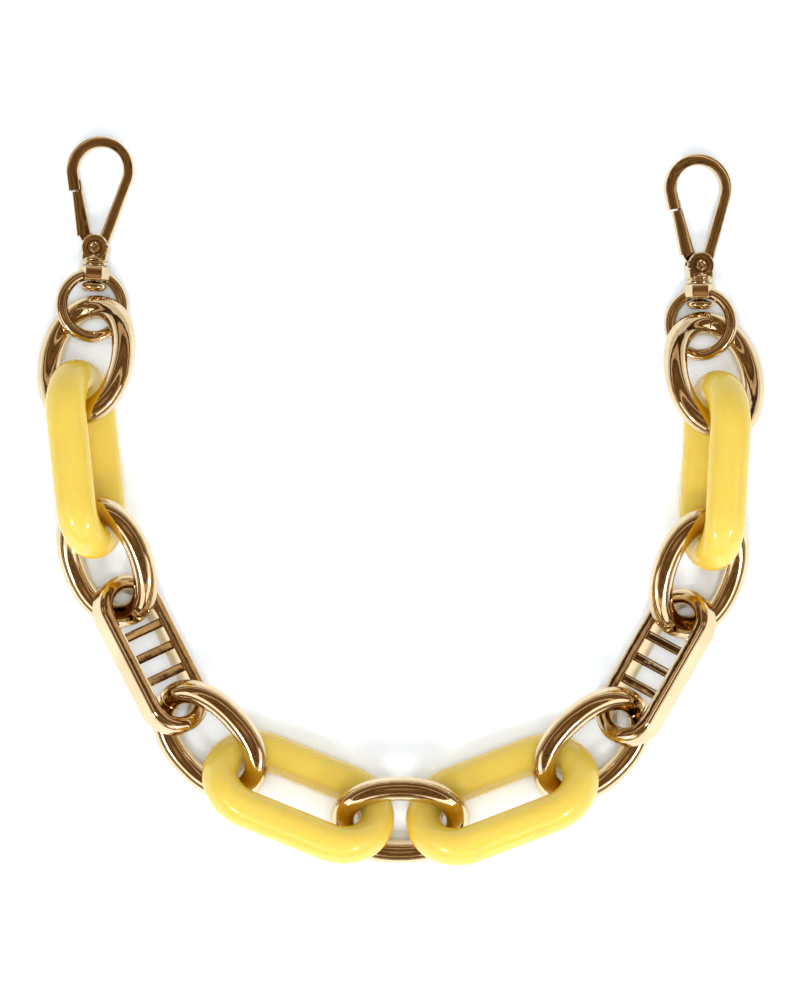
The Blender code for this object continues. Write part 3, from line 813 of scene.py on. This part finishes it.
def hook_frame_object(name):
    """Forked head with its collar and bar, and the room that the others need."""
    half_slot, half_head = SLOT_DEPTH / 2, HEAD_DEPTH / 2
    half_notch = TONGUE_DEPTH / 2 + GAP
    joined = [frame_bar_bmesh(), collar_bmesh(), cheeks_bmesh()]
    cut = [disc(SLOT_RADIUS, -half_slot, half_slot),
           block((PIVOT_X, -SLOT_BACK, -half_slot),
                 (PIVOT_X + SLOT_LENGTH, SLOT_HEIGHT, half_slot)),
           block((NOSE_X - NOTCH_CLEAR[0], NOTCH_Y - NOTCH_CLEAR[1], -half_notch),
                 (NOTCH_X, NOTCH_Y, half_notch)),
           disc(PIN_RADIUS + GAP, -HEAD_DEPTH, HEAD_DEPTH),
           *pin_seats(),
           turned([(0, POST_RADIUS + GAP), (POST_TOP + GAP, POST_RADIUS + GAP)])]
    inset, drop = HEAD_BEVEL
    head = about_pivot([(-half_head, HEAD_RADIUS - inset), (-half_head + drop, HEAD_RADIUS),
                        (half_head - drop, HEAD_RADIUS), (half_head, HEAD_RADIUS - inset)])
    return combine(name, head, joined, cut)


def gate_object(name):
    """Tapered lever with its tongue, and a web that joins it to its knuckle."""
    root, top = Vector((*GATE_ROOT, 0)), Vector((*GATE_TOP, 0))
    path, sections = [], []
    for i in range(GATE_STEPS + 1):
        path.append(root.lerp(top, i / GATE_STEPS))
        width = GATE_ROOT_WIDTH + (GATE_TOP_WIDTH - GATE_ROOT_WIDTH) * i / GATE_STEPS
        sections.append(cornered_section(width / 2, GATE_DEPTH / 2,
                                         bevel_corner(FRAME_BEVEL)))
    tongue_section = cornered_section(TONGUE_WIDTH / 2, TONGUE_DEPTH / 2,
                                      round_corner(TONGUE_ROUND))
    tongue = sweep([Vector((*TONGUE_ROOT, 0)), Vector((*TONGUE_TOP, 0))],
                   [tongue_section] * 2, False)
    hub = Vector((PIVOT_X, WEB_OFFSET, (KNUCKLE_LOW + KNUCKLE_HIGH) / 2))
    end = root + (top - root).normalized() * WEB_REACH
    end.z = hub.z
    web_section = cornered_section(GATE_ROOT_WIDTH / 2 - WEB_INSET,
                                   (KNUCKLE_HIGH - KNUCKLE_LOW) / 2,
                                   round_corner(WEB_ROUND))
    web = sweep([hub, end], [web_section] * 2, False)
    knuckle = disc(KNUCKLE_RADIUS, KNUCKLE_LOW, KNUCKLE_HIGH)
    return combine(name, sweep(path, sections, False), joined=[tongue, knuckle, web],
                   cut=[disc(PIN_RADIUS + GAP, -HEAD_DEPTH, HEAD_DEPTH)])


def pin_object(name):
    """Pin with two dished heads."""
    half, inside = HEAD_DEPTH / 2, HEAD_DEPTH / 2 - PIN_HEAD_DEPTH + GAP
    upper = [(inside, PIN_RADIUS, 0), (inside, PIN_HEAD_RADIUS, PIN_INNER_ROUND)]
    upper += [(half - drop * MM, r * MM, rounding * MM) for drop, r, rounding in PIN_FACE]
    lower = [(-x, r, e) for x, r, e in reversed(upper)]
    return mesh_object(name, about_pivot(rounded_profile(lower + upper), PIN_SIDES))


def spring_object(name):
    path = []
    for i in range(SPRING_STEPS + 1):
        angle = SPRING_START + 2 * math.pi * SPRING_TURNS * i / SPRING_STEPS
        height = SPRING_LOW + (SPRING_HIGH - SPRING_LOW) * i / SPRING_STEPS
        path.append(Vector((PIVOT_X + SPRING_RADIUS * math.cos(angle),
                            SPRING_RADIUS * math.sin(angle), height)))
    bm = bmesh.new()
    rings = []
    for point, along in zip(path, tangents(path, False)):
        across = along.cross(Vector((0, 0, 1))).normalized()
        up = across.cross(along)
        rings.append([bm.verts.new(point + across * a + up * b) for a, b in
                      ellipse_section(SPRING_WIRE_RADIUS, SPRING_WIRE_RADIUS, WIRE_SIDES)])
    skin(bm, rings, False)
    return mesh_object(name, bm)


def make_hooks():
    makers = {"hook_frame": (hook_frame_object, "hook", GOLD, "gold"),
              "swivel_post": (post_object, "hook", GOLD, "gold"),
              "gate_pin": (pin_object, "hook", GOLD, "gold"),
              "gate_spring": (spring_object, "hook", STEEL, "spring_steel"),
              "gate": (gate_object, "gate", GOLD, "gold")}
    for piece, (maker, body, material, slot) in makers.items():
        master = maker(piece + "_master")
        smooth(master)
        for side in ("left", "right"):
            obj = copy_of(master, f"fine_{side}_{piece}")
            place(obj, hook_matrix(side), f"{side}_{body}", f"{side}_{piece}", material, slot)
        bpy.data.objects.remove(master, do_unlink=True)
    for side in ("left", "right"):
        matrix = eye_matrix(side)
        eye = eye_object(f"fine_{side}_swivel_eye", matrix)
        smooth(eye)
        place(eye, matrix, f"{side}_eye", f"{side}_swivel_eye", GOLD, "gold")


# Surroundings.

FRAME_HEIGHT = 300.7 * MM       # what the picture's height covers at the floor
CAMERA_DISTANCE = 2.2
CAMERA_CLIP = (0.01, 20.0)
SENSOR = 36.0
VIEW_CENTRE = (-0.2 * MM, 0.0)
FLOOR_REACH = 2.5
FILL = 0.78                     # radiance of the white fill
BACKDROP_HEIGHT = 0.35          # rise of the backdrop's edge, as a sine

# Colours of the room against the sine of the height above the horizon.
ROOM = [(0.0, (0.9, 0.88, 0.84)), (0.02, (0.9, 0.88, 0.84)),
        (0.05, (0.05, 0.02, 0.006)), (0.13, (0.07, 0.03, 0.01)),
        (0.17, (0.75, 0.55, 0.36)), (0.25, (0.62, 0.44, 0.28)),
        (0.29, (0.06, 0.028, 0.01)), (0.42, (0.22, 0.125, 0.055)),
        (0.60, (0.13, 0.07, 0.028)), (0.66, (0.85, 0.66, 0.46)),
        (0.69, (0.85, 0.66, 0.46)), (0.73, (0.06, 0.028, 0.01)),
        (0.78, (0.30, 0.18, 0.08)), (0.81, (0.09, 0.045, 0.016)),
        (0.86, (0.25, 0.145, 0.064)), (0.875, (0.05, 0.022, 0.008)),
        (0.90, (0.20, 0.11, 0.048)), (0.94, (0.14, 0.072, 0.028)),
        (0.952, (0.34, 0.21, 0.10)), (0.965, (0.12, 0.06, 0.024)),
        (0.98, (0.30, 0.18, 0.085)), (0.99, (0.46, 0.29, 0.15))]

# Name, azimuth and angle from the zenith in degrees, distance, size, power, and
# whether polished surfaces mirror it.
LIGHTS = [("overhead", 0, 0, 2.5, (1.0, 1.0), 23.0, False),
          ("key", -90, 38, 1.2, (0.25, 0.25), 4.6, False),
          ("softbox_left", -135, 57, 0.9, (1.2, 0.3), 1.6, True),
          ("core_left", -135, 56, 0.89, (0.14, 0.08), 1.3, True),
          ("softbox_right", -45, 57, 0.9, (1.2, 0.3), 1.6, True),
          ("core_right", -45, 56, 0.89, (0.14, 0.08), 1.3, True)]


def make_floor():
    bm = bmesh.new()
    bmesh.ops.create_grid(bm, x_segments=1, y_segments=1, size=FLOOR_REACH)
    floor = mesh_object("floor", bm)
    material, tree, shader = new_material("floor_card")
    position = add(tree, "ShaderNodeTexCoord").outputs["Object"]
    colour = ramp(tree, noise(tree, position, 300.0, 3.0),
                  [(0.3, (0.82, 0.87, 0.92)), (0.7, (0.85, 0.90, 0.95))])
    tree.links.new(colour, shader.inputs["Base Color"])
    shader.inputs["Roughness"].default_value = 0.9
    shader.inputs["Specular IOR Level"].default_value = 0.1
    floor.data.materials.append(material)


def make_light(name, azimuth, zenith, distance, size, power, mirrored):
    """Rectangular light that faces the middle of the floor."""
    azimuth, zenith = math.radians(azimuth), math.radians(zenith)
    direction = Vector((math.sin(zenith) * math.cos(azimuth),
                        math.sin(zenith) * math.sin(azimuth), math.cos(zenith)))
    light = bpy.data.lights.new(name, "AREA")
    light.shape = "RECTANGLE"
    light.size, light.size_y = size
    light.energy = power
    obj = bpy.data.objects.new(name, light)
    obj.location = direction * distance
    obj.rotation_euler = direction.to_track_quat("Z", "Y").to_euler()
    obj.visible_glossy = mirrored
    bpy.context.scene.collection.objects.link(obj)


def make_world():
    """White fill for matte surfaces; a dim warm room for polished ones to mirror.

    The room has a pale backdrop low on its +Y side. Above it are dark and light
    bands, closer together towards the brown ceiling, with soft patches.
    """
    world = bpy.data.worlds.new("studio")
    bpy.context.scene.world = world
    world.use_nodes = True
    tree = world.node_tree
    fill = tree.nodes["Background"]
    fill.inputs["Color"].default_value = (1.0, 1.0, 1.0, 1.0)
    fill.inputs["Strength"].default_value = FILL
    direction = add(tree, "ShaderNodeTexCoord").outputs["Generated"]
    split = add(tree, "ShaderNodeSeparateXYZ")
    tree.links.new(direction, split.inputs[0])
    behind = add(tree, "ShaderNodeMath", operation="MAXIMUM")
    tree.links.new(split.outputs["Y"], behind.inputs[0])
    behind.inputs[1].default_value = 0.0
    wobble = spread(tree, noise(tree, direction, 5.0, 3.0), -0.012, 0.012)
    lowered = add(tree, "ShaderNodeMath", operation="MULTIPLY_ADD")
    tree.links.new(behind.outputs[0], lowered.inputs[0])
    lowered.inputs[1].default_value = -BACKDROP_HEIGHT
    tree.links.new(split.outputs["Z"], lowered.inputs[2])
    height = add(tree, "ShaderNodeMath", operation="ADD")
    tree.links.new(lowered.outputs[0], height.inputs[0])
    tree.links.new(wobble, height.inputs[1])
    room_colour = ramp(tree, height.outputs[0], ROOM)
    patches = spread(tree, noise(tree, direction, 14.0, 4.0, 0.65), 0.6, 1.4)
    room = add(tree, "ShaderNodeBackground")
    tree.links.new(room_colour, room.inputs["Color"])
    tree.links.new(patches, room.inputs["Strength"])
    mix = add(tree, "ShaderNodeMixShader")
    tree.links.new(add(tree, "ShaderNodeLightPath").outputs["Is Glossy Ray"],
                   mix.inputs["Fac"])
    tree.links.new(fill.outputs[0], mix.inputs[1])
    tree.links.new(room.outputs[0], mix.inputs[2])
    tree.links.new(mix.outputs[0], tree.nodes["World Output"].inputs["Surface"])


def make_camera():
    data = bpy.data.cameras.new("camera")
    data.sensor_width = SENSOR
    data.lens = SENSOR * CAMERA_DISTANCE / FRAME_HEIGHT
    data.clip_start, data.clip_end = CAMERA_CLIP
    camera = bpy.data.objects.new("camera", data)
    camera.location = (*VIEW_CENTRE, CAMERA_DISTANCE)
    bpy.context.scene.collection.objects.link(camera)
    bpy.context.scene.camera = camera


make_links()
make_hooks()
make_floor()
make_world()
for light in LIGHTS:
    make_light(*light)
make_camera()
bpy.context.scene.view_settings.view_transform = "Standard"
